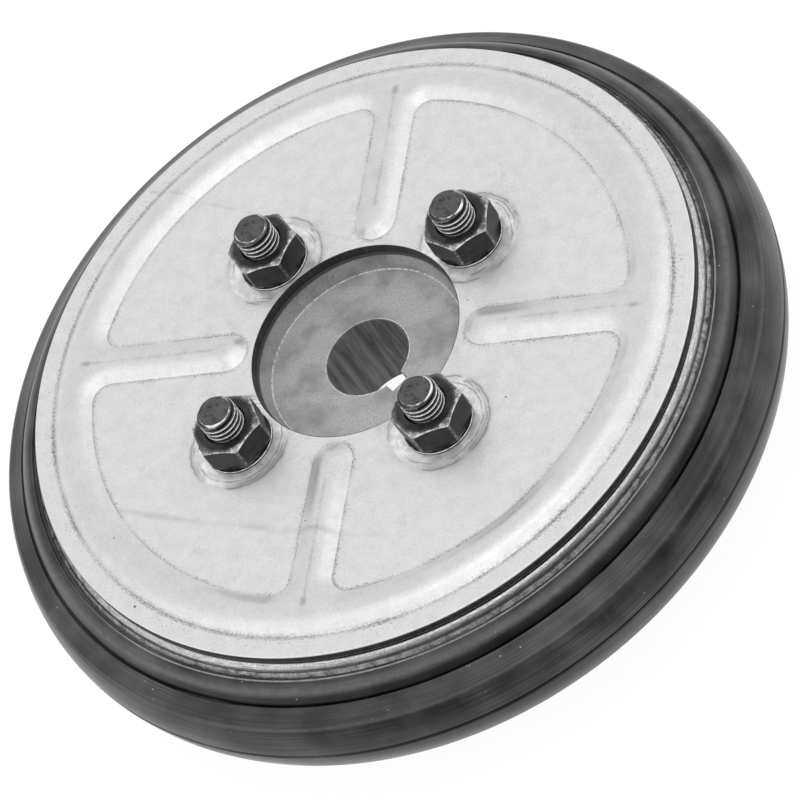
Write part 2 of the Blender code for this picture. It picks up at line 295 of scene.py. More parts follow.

# The foot of the recess and the bore's edge carry a bright, broken line, partly burnished and partly a
# painted highlight along the corner.
breakup = add_node(tree, "TexNoise", {"Vector": place, "Scale": 1 / (0.6 * MM), "Detail": 2.0})
breakup_mask = add_node(tree, "MapRange", {0: breakup, 1: 0.34, 2: 0.56})
foot_radius = recess_floor_radius - 0.08 * MM
at_foot = add_node(tree, "Math", {0: radius, 1: foot_radius, 2: 0.09 * MM}, operation="COMPARE")
at_bore_edge = add_node(tree, "Math", {0: radius, 1: bore_radius + 0.2 * MM, 2: 0.07 * MM},
                        operation="COMPARE")
burnish_and_highlight = add_node(tree, "Math", {0: at_foot, 1: at_bore_edge}, operation="MAXIMUM")
burnish_highlight_mask = add_node(tree, "Math", {0: burnish_and_highlight, 1: breakup_mask}, operation="MULTIPLY")

# The top of the recess's wall, under the plate, is painted dark as shade.
from_middle = add_node(tree, "Math", {0: axes.outputs[2], 1: core_middle_z}, operation="SUBTRACT")
from_mouth = add_node(tree, "Math", {0: from_middle}, operation="ABSOLUTE")
mouth_wander = add_node(tree, "Math", {0: grain, 1: 0.4 * MM, 2: from_mouth}, operation="MULTIPLY_ADD")
mouth_shade_mask = add_node(tree, "MapRange",
                      {0: mouth_wander, 1: core_half - 0.55 * MM, 2: core_half - 0.25 * MM})

streak_place = add_node(tree, "VectorMath", {0: place, 1: (1.0, 1.0, 0.09)}, operation="MULTIPLY")
streaks = add_node(tree, "TexNoise",
                   {"Vector": streak_place, "Scale": 1 / (1.7 * MM), "Detail": 6.0, "Roughness": 0.7})
streak_mask = add_node(tree, "MapRange", {0: streaks, 1: 0.40, 2: 0.74})
# The bore's wall is painted darker than the faces, as shade inside the bore, under its own lighter reaming
# streaks.
bore_wall = add_node(tree, "Mix", {0: streak_mask, 6: bore_painted_shade, 7: bore_streak}, data_type="RGBA")
in_bore = add_node(tree, "Math", {0: radius, 1: bore_radius + 0.02 * MM}, operation="LESS_THAN")
iron_colour = iron_grey
for mask, over in ((patch_mask, iron_dull), (grain_mask, iron_grain), (pore_mask, iron_pore),
                   (burnish_highlight_mask, iron_burnish_highlight), (mouth_shade_mask, iron_painted_shade), (in_bore, bore_wall)):
    iron_colour = add_node(tree, "Mix", {0: mask, 6: iron_colour, 7: over}, data_type="RGBA")
iron_rough = add_node(tree, "MapRange", {0: patches, 1: 0.3, 2: 0.7, 3: 0.52, 4: 0.66})
iron_relief = add_node(tree, "Math", {0: rings, 1: pore_mask}, operation="SUBTRACT")
iron_bump = add_node(tree, "Bump", {"Height": iron_relief, "Distance": 0.03 * MM, "Strength": 0.5})
set_inputs(tree, shader, {"Base Color": iron_colour, "Roughness": iron_rough, "Normal": iron_bump})
show_piece("hub_casting", hub_mesh, [iron], "hub_iron", "hub")

# Plates
# Two discs pressed from 2 mm steel sheet and zinc plated, with a ring rib and four spoke ribs
# raised outwards. Their edges are left as the die cut them, and the bolts clamp them on the hub.
plate_radius = 70.0 * MM
plate_thickness = 2.0 * MM
plate_edge_round = 0.25 * MM
hole_edge_round = 0.10 * MM
front_face_z = 37.9 * MM
back_face_z = 5.6 * MM
rib_height = 1.7 * MM
rib_crest_width = 0.6 * MM
rib_half_width = 4.45 * MM
rib_side_run = rib_half_width - rib_crest_width / 2
rib_slope = math.radians(33.0)
rib_foot_bend = 0.8 * MM
rib_wall = (rib_height - rib_side_run * math.tan(rib_slope / 2)) / math.sin(rib_slope)
rib_wall /= 1.0 - math.tan(rib_slope / 2) / math.tan(rib_slope)
rib_crest_bend = (rib_side_run - rib_wall * math.cos(rib_slope)) / math.sin(rib_slope) - rib_foot_bend
ring_rib_outer = plate_radius - 4.15 * MM
ring_rib_inner = ring_rib_outer - 2 * rib_half_width
spoke_end_radius = recess_mouth_radius + 1.4 * MM + rib_half_width
spoke_corner_radius = 3.5 * MM
speck_reach = 0.95 * MM
plate_segments = 288
# How strong the painted shade line and the specks are at each station of the foot's bend
foot_shade_marks = (0.5, 1.0, 0.4, 0.0, 0.0)
speck_marks = (0.95, 0.7, 0.2, 0.0, 0.0)
foot_steps = len(foot_shade_marks) - 1
wall_steps = 3
crest_steps = 9


def rib_side():
    """Stations on a rib's side: (distance in, height, slope, foot shade mark, speck mark)."""
    stations = [(-speck_reach, 0.0, 0.0, 0.0, 0.0), (-0.65 * speck_reach, 0.0, 0.0, 0.0, 0.75)]
    for i in range(foot_steps + 1):
        angle = rib_slope * i / foot_steps
        height = rib_foot_bend * (1.0 - math.cos(angle))
        stations.append((rib_foot_bend * math.sin(angle), height, angle, foot_shade_marks[i], speck_marks[i]))
    wall_start, wall_foot = stations[-1][:2]
    for i in range(1, wall_steps):
        along = rib_wall * i / wall_steps
        stations.append((wall_start + along * math.cos(rib_slope), wall_foot + along * math.sin(rib_slope),
                         rib_slope, 0.0, 0.0))
    for i in range(crest_steps + 1):
        angle = rib_slope * (1.0 - i / crest_steps)
        height = rib_height - rib_crest_bend * (1.0 - math.cos(angle))
        stations.append((rib_side_run - rib_crest_bend * math.sin(angle), height, angle, 0.0, 0.0))
    return stations


def rib_outline(inset):
    """The edge of the plate's middle field, moved by inset into the ribs round it."""
    reach = ring_rib_inner - spoke_corner_radius
    corner_y = rib_half_width + spoke_corner_radius
    corner_x = math.sqrt(reach ** 2 - corner_y ** 2)
    corner = math.degrees(math.atan2(corner_y, corner_x))
    pitch = 360.0 / spoke_count
    spoke = arc((corner_x, -corner_y), spoke_corner_radius + inset, -corner, 90.0, 12)
    spoke += arc((spoke_end_radius, 0.0), rib_half_width - inset, -90.0, -270.0, 24)
    spoke += arc((corner_x, corner_y), spoke_corner_radius + inset, -90.0, corner, 12, last=False)
    spoke += arc((0.0, 0.0), ring_rib_inner + inset, corner, pitch - corner, 48, last=False)
    outline = []
    for i in range(spoke_count):
        outline += turned(spoke, math.radians(pitch * i))
    return outline


def pressed_plate():
    """The sheet's outer face is at height 0, and its ribs are raised above it."""
    bm = bmesh.new()
    foot_layer = bm.verts.layers.float.new("foot")
    speck_layer = bm.verts.layers.float.new("speck")

    def add_loop(points, height, foot=0.0, speck=0.0):
        verts = [bm.verts.new((x, y, height)) for x, y in points]
        for i, vert in enumerate(verts):
            bm.edges.new((vert, verts[(i + 1) % len(verts)]))
            vert[foot_layer] = foot
            vert[speck_layer] = speck
        return verts

    def join(loops, zone=0):
        for first, second in zip(loops, loops[1:]):
            for i in range(len(first)):
                j = (i + 1) % len(first)
                bm.faces.new((first[i], first[j], second[j], second[i])).material_index = zone

    def fill(loops):
        edges = [bm.edges.get((vert, loop[(i + 1) % len(loop)]))
                 for loop in loops for i, vert in enumerate(loop)]
        bmesh.ops.triangle_fill(bm, edges=edges, use_beauty=True, normal=(0.0, 0.0, 1.0))

    def circle(r, count, centre=(0.0, 0.0)):
        return arc(centre, r, 0.0, 360.0, count, last=False)

    walls = []
    for depth in (0.0, plate_thickness):
        away = 1.0 if depth == 0.0 else -1.0
        field = []
        border = []
        for distance, height, slope, foot, speck in rib_side():
            inset = distance + depth * math.sin(slope)
            level = height - depth * math.cos(slope)
            field.append(add_loop(rib_outline(inset), level, foot, speck))
            border.append(add_loop(circle(ring_rib_outer - inset, plate_segments), level, foot, speck))
        join(field)
        join(border)
        fill([border[-1], field[-1]])
        edge = []
        hole = []
        for i in range(-1, 4):
            turn = math.radians(max(0.0, 30.0 * i))
            back = 1.0 - math.sin(turn) + max(0.0, -0.6 * i)
            drop = away * (1.0 - math.cos(turn))
            edge.append(add_loop(circle(plate_radius - plate_edge_round * back, plate_segments),
                                 -depth - plate_edge_round * drop))
            hole.append(add_loop(circle(recess_mouth_radius + hole_edge_round * back, hub_segments),
                                 -depth - hole_edge_round * drop))
        join(edge)
        join(hole, 1)
        join([border[0], edge[0]])
        bolt_holes = [add_loop(circle(bolt_radius + bolt_play, 32, spot), -depth) for spot in bolt_places]
        fill([field[0], hole[0], *bolt_holes])
        walls.append([edge[-1], hole[-1], *bolt_holes])
    for upper, lower in zip(*walls):
        join([upper, lower], 1)
    mesh = bpy.data.meshes.new("pressed_plate")
    bm.to_mesh(mesh)
    bm.free()
    return finish_mesh(mesh, 35.0)


def near_level(tree, level, centre, far, near, most=1.0, **settings):
    """A mask round one level: gone beyond the far distance, and full within the near one."""
    off = add_node(tree, "Math", {0: level, 1: centre}, operation="SUBTRACT")
    away = add_node(tree, "Math", {0: off}, operation="ABSOLUTE")
    return add_node(tree, "MapRange", {0: away, 1: far, 2: near, 4: most}, **settings)


# Zinc-plated sheet: pale grey and softly mirror-like, faintly mottled, with dark specks and a line of
# painted shade along the feet of the ribs, darker crests, a few long scratches, and scuffed rings round the
# nuts.
zinc_light = "#DFDFDF"
zinc_mottle = "#D4D4D4"
zinc_grey = "#BABABA"
zinc_darker = "#8A8A8A"
zinc_speck_and_shade = "#5E5E5E"
zinc_bare = "#F8F8F8"
zinc, tree, shader, place = start_material("zinc_plated_sheet", 0.65, 0.34)
axes, flat, radius = about_axis(tree, place)
mottle = add_node(tree, "TexNoise",
                  {"Vector": place, "Scale": 1 / (3.2 * MM), "Detail": 6.0, "Roughness": 0.7})
mottle_mask = add_node(tree, "MapRange", {0: mottle, 1: 0.38, 2: 0.68})

# Smears of oil and grime are thickest on the middle of the plate, where hands and spanners go.
smears = add_node(tree, "TexNoise",
                  {"Vector": place, "Scale": 1 / (8 * MM), "Detail": 8.0, "Roughness": 0.68})
smear_reach = add_node(tree, "MapRange", {0: radius, 1: 24 * MM, 2: 62 * MM, 3: 0.07, 4: -0.03})
smear_level = add_node(tree, "Math", {0: smears, 1: smear_reach}, operation="ADD")
smear_mask = add_node(tree, "MapRange", {0: smear_level, 1: 0.58, 2: 0.78, 4: 0.55})

# The sheet is painted a little darker where it is pressed up, on the ribs' crests.
raised_mask = add_node(tree, "MapRange", {0: axes.outputs[2], 1: 0.9 * MM, 2: 1.5 * MM, 4: 0.22})

# A soft darker band lies along the ring rib's outer foot, thick in some stretches and thin in
# others. Its grain, like the plating's own, is finer than the half millimetre at which it is drawn.
stretches = add_node(tree, "TexNoise", {"Vector": place, "Scale": 1 / (13 * MM), "Detail": 3.0})
grains = add_node(tree, "TexNoise",
                  {"Vector": place, "Scale": 1 / (0.5 * MM), "Detail": 3.0, "Roughness": 0.65})
band_near = near_level(tree, radius, ring_rib_outer - 0.10 * MM, 0.85 * MM, 0.35 * MM,
                       interpolation_type="SMOOTHSTEP")
band_share = add_node(tree, "MapRange", {0: stretches, 1: 0.35, 2: 0.65, 3: 0.14, 4: 0.42})
band_even = add_node(tree, "Math", {0: band_near, 1: band_share}, operation="MULTIPLY")
band_grain = add_node(tree, "MapRange", {0: grains, 1: 0.42, 2: 0.60, 3: 0.55, 4: 1.5})
band_mask = add_node(tree, "Math", {0: band_even, 1: band_grain}, operation="MULTIPLY")

# A thin dark line of painted shade follows the concave foot of each rib, with specks of dirt on the flat
# beside it.
speck_amount = add_node(tree, "Attribute", attribute_name="speck").outputs["Fac"]
foot_amount = add_node(tree, "Attribute", attribute_name="foot").outputs["Fac"]
border_speck = near_level(tree, radius, ring_rib_outer + 1.3 * MM, 1.9 * MM, 0.7 * MM, 0.62)
speck_most = add_node(tree, "Math", {0: speck_amount, 1: border_speck}, operation="MAXIMUM")
speck_share = add_node(tree, "Math", {0: stretches, 1: speck_most}, operation="MULTIPLY")
speck_level = add_node(tree, "Math", {0: speck_share, 1: 0.45, 2: grains}, operation="MULTIPLY_ADD")
speck_mask = add_node(tree, "MapRange", {0: speck_level, 1: 0.76, 2: 0.84, 4: 0.62})
foot_share = add_node(tree, "MapRange", {0: stretches, 1: 0.40, 2: 0.60, 3: 0.32, 4: 0.90})
foot_grain = add_node(tree, "MapRange", {0: grains, 1: 0.36, 2: 0.60, 3: 0.35})
foot_level = add_node(tree, "Math", {0: foot_amount, 1: foot_share}, operation="MULTIPLY")
foot_shade_mask = add_node(tree, "Math", {0: foot_level, 1: foot_grain}, operation="MULTIPLY")

# Each spoke's crest carries a fine, broken darker line, which ends in a darker dab.
fold_x = add_node(tree, "Math", {0: axes.outputs[0]}, operation="ABSOLUTE")
fold_y = add_node(tree, "Math", {0: axes.outputs[1]}, operation="ABSOLUTE")
down_spoke = add_node(tree, "Math", {0: fold_x, 1: fold_y}, operation="MAXIMUM")
off_spoke = add_node(tree, "Math", {0: fold_x, 1: fold_y}, operation="MINIMUM")
crest_near = add_node(tree, "MapRange", {0: off_spoke, 1: 0.50 * MM, 2: 0.02 * MM})
crest_in = add_node(tree, "Math", {0: down_spoke, 1: 45 * MM, 2: 14.4 * MM}, operation="COMPARE")
crest_share = add_node(tree, "MapRange", {0: mottle, 1: 0.40, 2: 0.60, 3: 0.03, 4: 0.26})
crest_line = add_node(tree, "Math", {0: crest_near, 1: crest_in}, operation="MULTIPLY")
crest_mask = add_node(tree, "Math", {0: crest_line, 1: crest_share}, operation="MULTIPLY")
dab_along = add_node(tree, "Math", {0: down_spoke, 1: 59 * MM}, operation="SUBTRACT")
dab_shrunk = add_node(tree, "Math", {0: dab_along, 1: 0.55}, operation="MULTIPLY")
dab_place = add_node(tree, "CombineXYZ", {0: dab_shrunk, 1: off_spoke})
dab_radius = add_node(tree, "VectorMath", {0: dab_place}, operation="LENGTH")
dab_ragged = add_node(tree, "Math", {0: mottle, 1: 1.6 * MM, 2: dab_radius}, operation="MULTIPLY_ADD")
dab_mask = add_node(tree, "MapRange", {0: dab_ragged, 1: 1.75 * MM, 2: 0.85 * MM, 4: 0.55})

# Pits in the plating, mostly under half a millimetre wide and a few centimetres apart.
marks_and_foot_shade = specks(tree, place, 8 * MM, 0.45, 0.4 * MM)
# The pits, the specks, the painted shade at the ribs' feet, and the spokes' crest lines and dabs all take one
# darker grey.
for each in (speck_mask, foot_shade_mask, crest_mask, dab_mask):
    marks_and_foot_shade = add_node(tree, "Math", {0: marks_and_foot_shade, 1: each}, operation="MAXIMUM")

# Two long shallow scratches bow across the plate, each part of a wide circle.
scratch_marks = 0.0
for centre_x, centre_y, bow, width, middle, reach in ((-250.6, -545.9, 620.6, 0.55, -29.0, 25.0),
                                                     (65.9, 409.6, 457.6, 0.95, -14.0, 31.0)):
    bow_centre = (centre_x * MM, centre_y * MM, 0.0)
    bow_radius = add_node(tree, "VectorMath", {0: flat, 1: bow_centre}, operation="DISTANCE")
    wandering = add_node(tree, "Math", {0: smears, 1: 1.2 * MM, 2: bow_radius}, operation="MULTIPLY_ADD")
    on_bow = near_level(tree, wandering, (bow + 0.6) * MM, width * MM, 0.1 * MM, 0.28)
    within = add_node(tree, "Math", {0: axes.outputs[0], 1: middle * MM, 2: reach * MM}, operation="COMPARE")
    scratch = add_node(tree, "Math", {0: on_bow, 1: within}, operation="MULTIPLY")
    scratch_marks = add_node(tree, "Math", {0: scratch_marks, 1: scratch}, operation="MAXIMUM")
scratch_share = add_node(tree, "MapRange", {0: stretches, 1: 0.38, 2: 0.62})
scratch_mask = add_node(tree, "Math", {0: scratch_marks, 1: scratch_share}, operation="MULTIPLY")

# Each nut has turned on the plate: it scored broken arcs round itself and rubbed the zinc bright
# inside them. The four places are folded onto one, and noise keeps them from looking alike.
folded = add_node(tree, "CombineXYZ", {0: fold_x, 1: fold_y})
nut_radius = add_node(tree, "VectorMath", {0: folded, 1: (*bolt_places[0], 0.0)}, operation="DISTANCE")
rub_radius = add_node(tree, "Math", {0: smears, 1: 1.0 * MM, 2: nut_radius}, operation="MULTIPLY_ADD")
rub_zone = add_node(tree, "MapRange", {0: rub_radius, 1: 10.9 * MM, 2: 10.3 * MM},
                    interpolation_type="SMOOTHSTEP")
rub_patches = add_node(tree, "TexNoise", {"Vector": place, "Scale": 1 / (2.2 * MM), "Detail": 5.0})
rub_share = add_node(tree, "MapRange", {0: rub_patches, 1: 0.42, 2: 0.62})
rub_mask = add_node(tree, "Math", {0: rub_zone, 1: rub_share}, operation="MULTIPLY")
arc_place = add_node(tree, "Math", {0: rub_patches, 1: 0.9 * MM, 2: rub_radius}, operation="MULTIPLY_ADD")
arc_marks = 0.0
for arc_radius, arc_half, low, high, most in ((11.35, 0.42, 0.42, 0.54, 0.80), (10.7, 0.26, 0.48, 0.60, 0.80),
                                              (9.95, 0.24, 0.42, 0.54, 0.70), (11.0, 1.30, 0.34, 0.60, 0.42)):
    on_arc = near_level(tree, arc_place, arc_radius * MM, arc_half * MM, 0.04 * MM)
    arc_breaks = add_node(tree, "TexNoise",
                          {"Vector": place, "Scale": 1 / (arc_radius * 0.5 * MM), "Detail": 2.0})
    arc_share = add_node(tree, "MapRange", {0: arc_breaks, 1: low, 2: high, 4: most})
    scored = add_node(tree, "Math", {0: on_arc, 1: arc_share}, operation="MULTIPLY")
    arc_marks = add_node(tree, "Math", {0: arc_marks, 1: scored}, operation="MAXIMUM")

zinc_colour = zinc_light
for mask, over in ((mottle_mask, zinc_mottle), (smear_mask, zinc_grey), (raised_mask, zinc_grey),
                   (band_mask, zinc_darker), (marks_and_foot_shade, zinc_speck_and_shade), (scratch_mask, zinc_darker),
                   (rub_mask, zinc_bare), (arc_marks, zinc_darker)):
    zinc_colour = add_node(tree, "Mix", {0: mask, 6: zinc_colour, 7: over}, data_type="RGBA")
plating_grain = add_node(tree, "MapRange", {0: grains, 1: 0.32, 2: 0.68, 3: 1.07, 4: 0.94})
grained_zinc = add_node(tree, "VectorMath", {0: zinc_colour, "Scale": plating_grain}, operation="SCALE")
zinc_rough = add_node(tree, "MapRange", {0: smears, 1: 0.3, 2: 0.7, 3: 0.32, 4: 0.43})

# Slow waves of the pressed sheet under a fine, slightly rough plating, with the arcs cut into it.
waves = add_node(tree, "TexNoise", {"Vector": place, "Scale": 1 / (18 * MM), "Detail": 1.0})
wave_bump = add_node(tree, "Bump", {"Height": waves, "Distance": 0.15 * MM, "Strength": 0.5})
zinc_bump = add_node(tree, "Bump",
                     {"Height": mottle, "Distance": 0.03 * MM, "Strength": 0.5, "Normal": wave_bump})
arc_bump = add_node(tree, "Bump", {"Height": arc_marks, "Distance": 0.03 * MM, "Normal": zinc_bump},
                    invert=True)
set_inputs(tree, shader, {"Base Color": grained_zinc, "Roughness": zinc_rough, "Normal": arc_bump})

# The cut edge, round the rim and the holes: torn steel with upright shear lines 0.5 mm apart, painted dark as
# the shade and dark reflections on it.
edge_painted_shade = "#383838"
edge_worn = "#585858"
cut_edge, tree, shader, place = start_material("sheared_steel_edge", 0.6, 0.5)
shear_place = add_node(tree, "VectorMath", {0: place, 1: (1.0, 1.0, 0.15)}, operation="MULTIPLY")
shear = add_node(tree, "TexNoise", {"Vector": shear_place, "Scale": 1 / (0.5 * MM), "Detail": 3.0})
shear_mask = add_node(tree, "MapRange", {0: shear, 1: 0.45, 2: 0.8})
shear_colour = add_node(tree, "Mix", {0: shear_mask, 6: edge_painted_shade, 7: edge_worn}, data_type="RGBA")
shear_bump = add_node(tree, "Bump", {"Height": shear, "Distance": 0.05 * MM, "Strength": 0.5})
set_inputs(tree, shader, {"Base Color": shear_colour, "Normal": shear_bump})

plate_mesh = pressed_plate()
back_turn = Matrix.Translation((0.0, 0.0, back_face_z)) @ Matrix.Rotation(math.pi, 4, "X")
show_piece("front_pressing", plate_mesh, [zinc, cut_edge], "zinc_plate", "front_plate",
           matrix=Matrix.Translation((0.0, 0.0, front_face_z)))
show_piece("back_pressing", plate_mesh, [zinc, cut_edge], "zinc_plate", "back_plate", matrix=back_turn)

# Rim ring
# A turned steel ring that the plates clamp by their borders. Its corner is rounded and polished
# by the lathe tool, and the land outside it is stained where the tyre was moulded on.
rim_radius = 72.0 * MM
rim_inner_radius = ring_rib_outer
rim_round_end = 71.15 * MM
rim_round_width = 1.5 * MM
rim_round_drop = 1.3 * MM
rim_round_turn = math.radians(62.0)
rim_groove_width = 0.16 * MM
rim_groove_depth = 0.18 * MM
rim_round_steps = 8
land_start_radius = rim_round_end + rim_groove_width
land_start_drop = 1.3 * MM
land_lip_drop = land_start_drop + 0.1 * MM
land_end_drop = 2.2 * MM
land_roughness = 0.04 * MM
land_grain = 1.2 * MM
land_steps = 6
ring_segments = 384


def rim_section(angle):
    """At each end: the polished corner, the groove that the tool left at its foot, the rough land."""
    half = [(rim_inner_radius, 0.0)]
    for i in range(rim_round_steps + 1):
        turn = rim_round_turn * i / rim_round_steps
        half.append((rim_round_end - rim_round_width * (1.0 - math.sin(turn) / math.sin(rim_round_turn)),
                     rim_round_drop * (1.0 - math.cos(turn)) / (1.0 - math.cos(rim_round_turn))))
    half.append((rim_round_end + rim_groove_width / 2, land_start_drop + rim_groove_depth))
    half.append((land_start_radius, land_lip_drop))
    for i in range(1, land_steps + 1):
        share = i / land_steps
        spot = Vector((rim_radius * share * math.cos(angle), rim_radius * share * math.sin(angle), share))
        rough = land_roughness * noise.noise(spot / land_grain) if i < land_steps else 0.0
        half.append((land_start_radius + (rim_radius - land_start_radius) * share,
                     land_lip_drop + (land_end_drop - land_lip_drop) * share + rough))
    return both_ends(half)


# Turned steel: bright, drawn out in fine lines along the turning, and grey with mottled stains
# and rubber residue on the outer land.
steel_bright = "#DCDCDC"
steel_line = "#848484"
steel_shade_and_grime = "#4C4C4C"
stain_mid = "#ACACAC"
stain_dark = "#707070"
stain_light = "#DADADA"
rim_steel, tree, shader, place = start_material("turned_steel", 1.0, 0.38)
_, flat, radius = about_axis(tree, place)
round_the_axis = add_node(tree, "VectorMath", {0: flat}, operation="NORMALIZE")

# The lines run round the ring: 0.12 mm apart across it, and a few millimetres long.
across = add_node(tree, "Math", {0: radius, 1: 1 / (0.12 * MM)}, operation="MULTIPLY")
along = add_node(tree, "VectorMath", {0: round_the_axis, "Scale": 30.0}, operation="SCALE")
lines = add_node(tree, "TexNoise",
                 {"Vector": along, "W": across, "Scale": 1.0, "Detail": 4.0, "Roughness": 0.7},
                 noise_dimensions="4D")
line_mask = add_node(tree, "MapRange", {0: lines, 1: 0.34, 2: 0.68})

stains = add_node(tree, "TexNoise",
                  {"Vector": place, "Scale": 1 / (1.5 * MM), "Detail": 6.0, "Roughness": 0.7})
stain_low = add_node(tree, "MapRange", {0: stains, 1: 0.36, 2: 0.52})
stain_high = add_node(tree, "MapRange", {0: stains, 1: 0.56, 2: 0.72})
stained = stain_dark
for mask, over in ((stain_low, stain_mid), (stain_high, stain_light)):
    stained = add_node(tree, "Mix", {0: mask, 6: stained, 7: over}, data_type="RGBA")
land_wander = add_node(tree, "Math", {0: stains, 1: 0.25 * MM, 2: radius}, operation="MULTIPLY_ADD")
land_mask = add_node(tree, "MapRange",
                     {0: land_wander, 1: rim_round_end + 0.06 * MM, 2: rim_round_end + 0.20 * MM})

# Away from the camera's side a grey crust of rubber residue covers the turned corner as well.
camera_side = (0.628, -0.778, 0.0)
towards_camera = add_node(tree, "VectorMath", {0: round_the_axis, 1: camera_side}, operation="DOT_PRODUCT")
crust_edge = add_node(tree, "Math", {0: stains, 1: 0.5, 2: towards_camera}, operation="MULTIPLY_ADD")
crust_mask = add_node(tree, "MapRange", {0: crust_edge, 1: 0.52, 2: 0.28, 4: 0.8})
crust_grain = add_node(tree, "MapRange", {0: stains, 1: 0.3, 2: 0.7, 3: 0.45, 4: 0.95})
crust = add_node(tree, "VectorMath", {0: stained, "Scale": crust_grain}, operation="SCALE")
fine_grain = add_node(tree, "TexNoise", {"Vector": place, "Scale": 1 / (0.4 * MM), "Detail": 3.0})
grain_level = add_node(tree, "MapRange", {0: fine_grain, 1: 0.35, 2: 0.65, 3: 0.80, 4: 1.16})

# The joint under the plate's edge is painted dark, as the shade where the plate meets the ring and as oily
# grime; the tool's groove is painted dark as well.
joint_wander = add_node(tree, "Math", {0: lines, 1: 0.16 * MM, 2: radius}, operation="MULTIPLY_ADD")
joint_shade_mask = add_node(tree, "MapRange",
                      {0: joint_wander, 1: plate_radius + 0.22 * MM, 2: plate_radius + 0.06 * MM})
groove_radius = rim_round_end - 0.04 * MM
at_groove = add_node(tree, "Math", {0: radius, 1: groove_radius, 2: 0.17 * MM}, operation="COMPARE")
groove_mask = add_node(tree, "Math", {0: at_groove, 1: 0.55}, operation="MULTIPLY")
shade_and_dark_line_mask = add_node(tree, "Math", {0: joint_shade_mask, 1: groove_mask}, operation="MAXIMUM")

rim_colour = steel_bright
for mask, over in ((line_mask, steel_line), (land_mask, stained), (crust_mask, crust)):
    rim_colour = add_node(tree, "Mix", {0: mask, 6: rim_colour, 7: over}, data_type="RGBA")
rim_grained = add_node(tree, "VectorMath", {0: rim_colour, "Scale": grain_level}, operation="SCALE")
rim_shaded = add_node(tree, "Mix", {0: shade_and_dark_line_mask, 6: rim_grained, 7: steel_shade_and_grime}, data_type="RGBA")
rim_rough = add_node(tree, "MapRange", {0: land_mask, 3: 0.36, 4: 0.55})
rim_bump = add_node(tree, "Bump", {"Height": lines, "Distance": 0.05 * MM, "Strength": 0.7})
set_inputs(tree, shader, {"Base Color": rim_shaded, "Roughness": rim_rough, "Normal": rim_bump})
show_piece("rim_turning", finish_mesh(turned_mesh("rim_turning", rim_section, ring_segments), 40.0),
           [rim_steel], "rim_steel", "rim_ring")

# Tyre
# Solid black rubber, moulded and vulcanised onto the rim ring in a two-part mould. A thin flash
# has crept over the ring's land, and the mould's joint shows as a line round the tread's crest.
tread_radius = 82.5 * MM
shoulder_edge_radius = 80.9 * MM
lip_radius = rim_radius + 0.75 * MM
lip_drop = 1.62 * MM
bead_top_drop = 1.75 * MM
bead_outer_radius = 76.3 * MM
bead_corner_radius = 3.6 * MM
crease_radius = 76.5 * MM
crease_drop = 5.15 * MM
shoulder_foot_radius = 76.85 * MM
shoulder_foot_drop = 4.8 * MM
tread_drop = 7.1 * MM
edge_round = 1.8 * MM
parting_width = 1.00 * MM
parting_depth = 0.50 * MM
flash_thickness = 0.10 * MM
edge_round_turn = math.radians(64.0)
edge_round_steps = 6
tread_steps = 12
tread_half_width = core_half - tread_drop


def flash_edge(angle, side):
    """Radius of the flash's torn inner edge, between the ring's land and the lip."""
    round_place = Vector((math.cos(angle), math.sin(angle), 2.0 * side))
    broad = noise.noise(round_place * 4.0)
    torn = noise.noise(round_place * 26.0)
    fine = noise.noise(round_place * 90.0)
    thick_side = max(0.0, math.cos(angle - math.radians(42.0))) ** 6
    creep = 0.35 * broad + 0.34 * torn + 0.14 * fine + 0.36 * thick_side - 0.06
    return rim_radius - 0.05 * MM - max(0.0, creep) * 1.5 * MM


def half_tyre(angle, side):
    """Section of one half, from the bond with the rim ring out to the tread's crest."""
    inner = max(flash_edge(angle, side), rim_round_end + 0.25 * MM)
    land_slope = (land_end_drop - land_start_drop) / (rim_radius - rim_round_end)
    inner_drop = land_start_drop + (inner - rim_round_end) * land_slope
    half = [
        (rim_radius, land_end_drop + 0.25 * MM),
        (inner, inner_drop + 0.03 * MM),
        (inner + 0.08 * MM, inner_drop - flash_thickness),
        (rim_radius + 0.1 * MM, land_end_drop - flash_thickness - 0.05 * MM),
        (lip_radius - 0.16 * MM, land_end_drop - 0.22 * MM),
        (lip_radius - 0.06 * MM, lip_drop),
        (lip_radius + 0.04 * MM, lip_drop),
        (lip_radius + 0.18 * MM, bead_top_drop + 0.10 * MM),
    ]
    wave = 0.10 * MM * noise.noise(Vector((math.cos(angle), math.sin(angle), side)) * 9.0)
    centre = (bead_outer_radius - bead_corner_radius, bead_top_drop + bead_corner_radius)
    half += arc(centre, bead_corner_radius, -90.0, -14.0, 14)
    half.append((bead_outer_radius + 0.02 * MM, crease_drop - 0.25 * MM))
    half.append((crease_radius + wave, crease_drop))
    half.append((crease_radius + 0.14 * MM + wave, crease_drop))
    half.append((shoulder_foot_radius + wave, shoulder_foot_drop))
    shoulder_width = shoulder_edge_radius - shoulder_foot_radius
    shoulder_fall = tread_drop - shoulder_foot_drop
    half += [(shoulder_foot_radius + shoulder_width * share, shoulder_foot_drop + shoulder_fall * share)
             for share in (0.08, 0.30, 0.60)]
    start = math.atan2(shoulder_fall, shoulder_width)
    for i in range(edge_round_steps + 1):
        turn = start + (edge_round_turn - start) * i / edge_round_steps
        back = edge_round * (math.sin(edge_round_turn) - math.sin(turn))
        rise = edge_round * (math.cos(turn) - math.cos(edge_round_turn))
        half.append((shoulder_edge_radius + 0.12 * MM - back, tread_drop + 0.25 * MM - rise))
    for i in range(1, tread_steps):
        share = i / tread_steps
        half.append((tread_radius - (tread_radius - shoulder_edge_radius) * (1.0 - share) ** 2,
                     tread_drop + tread_half_width * share))
    half.append((tread_radius - 0.01 * MM, core_half - parting_width / 2))
    half.append((tread_radius - 0.8 * parting_depth, core_half - 0.22 * MM))
    half.append((tread_radius - parting_depth, core_half - 0.03 * MM))
    return half


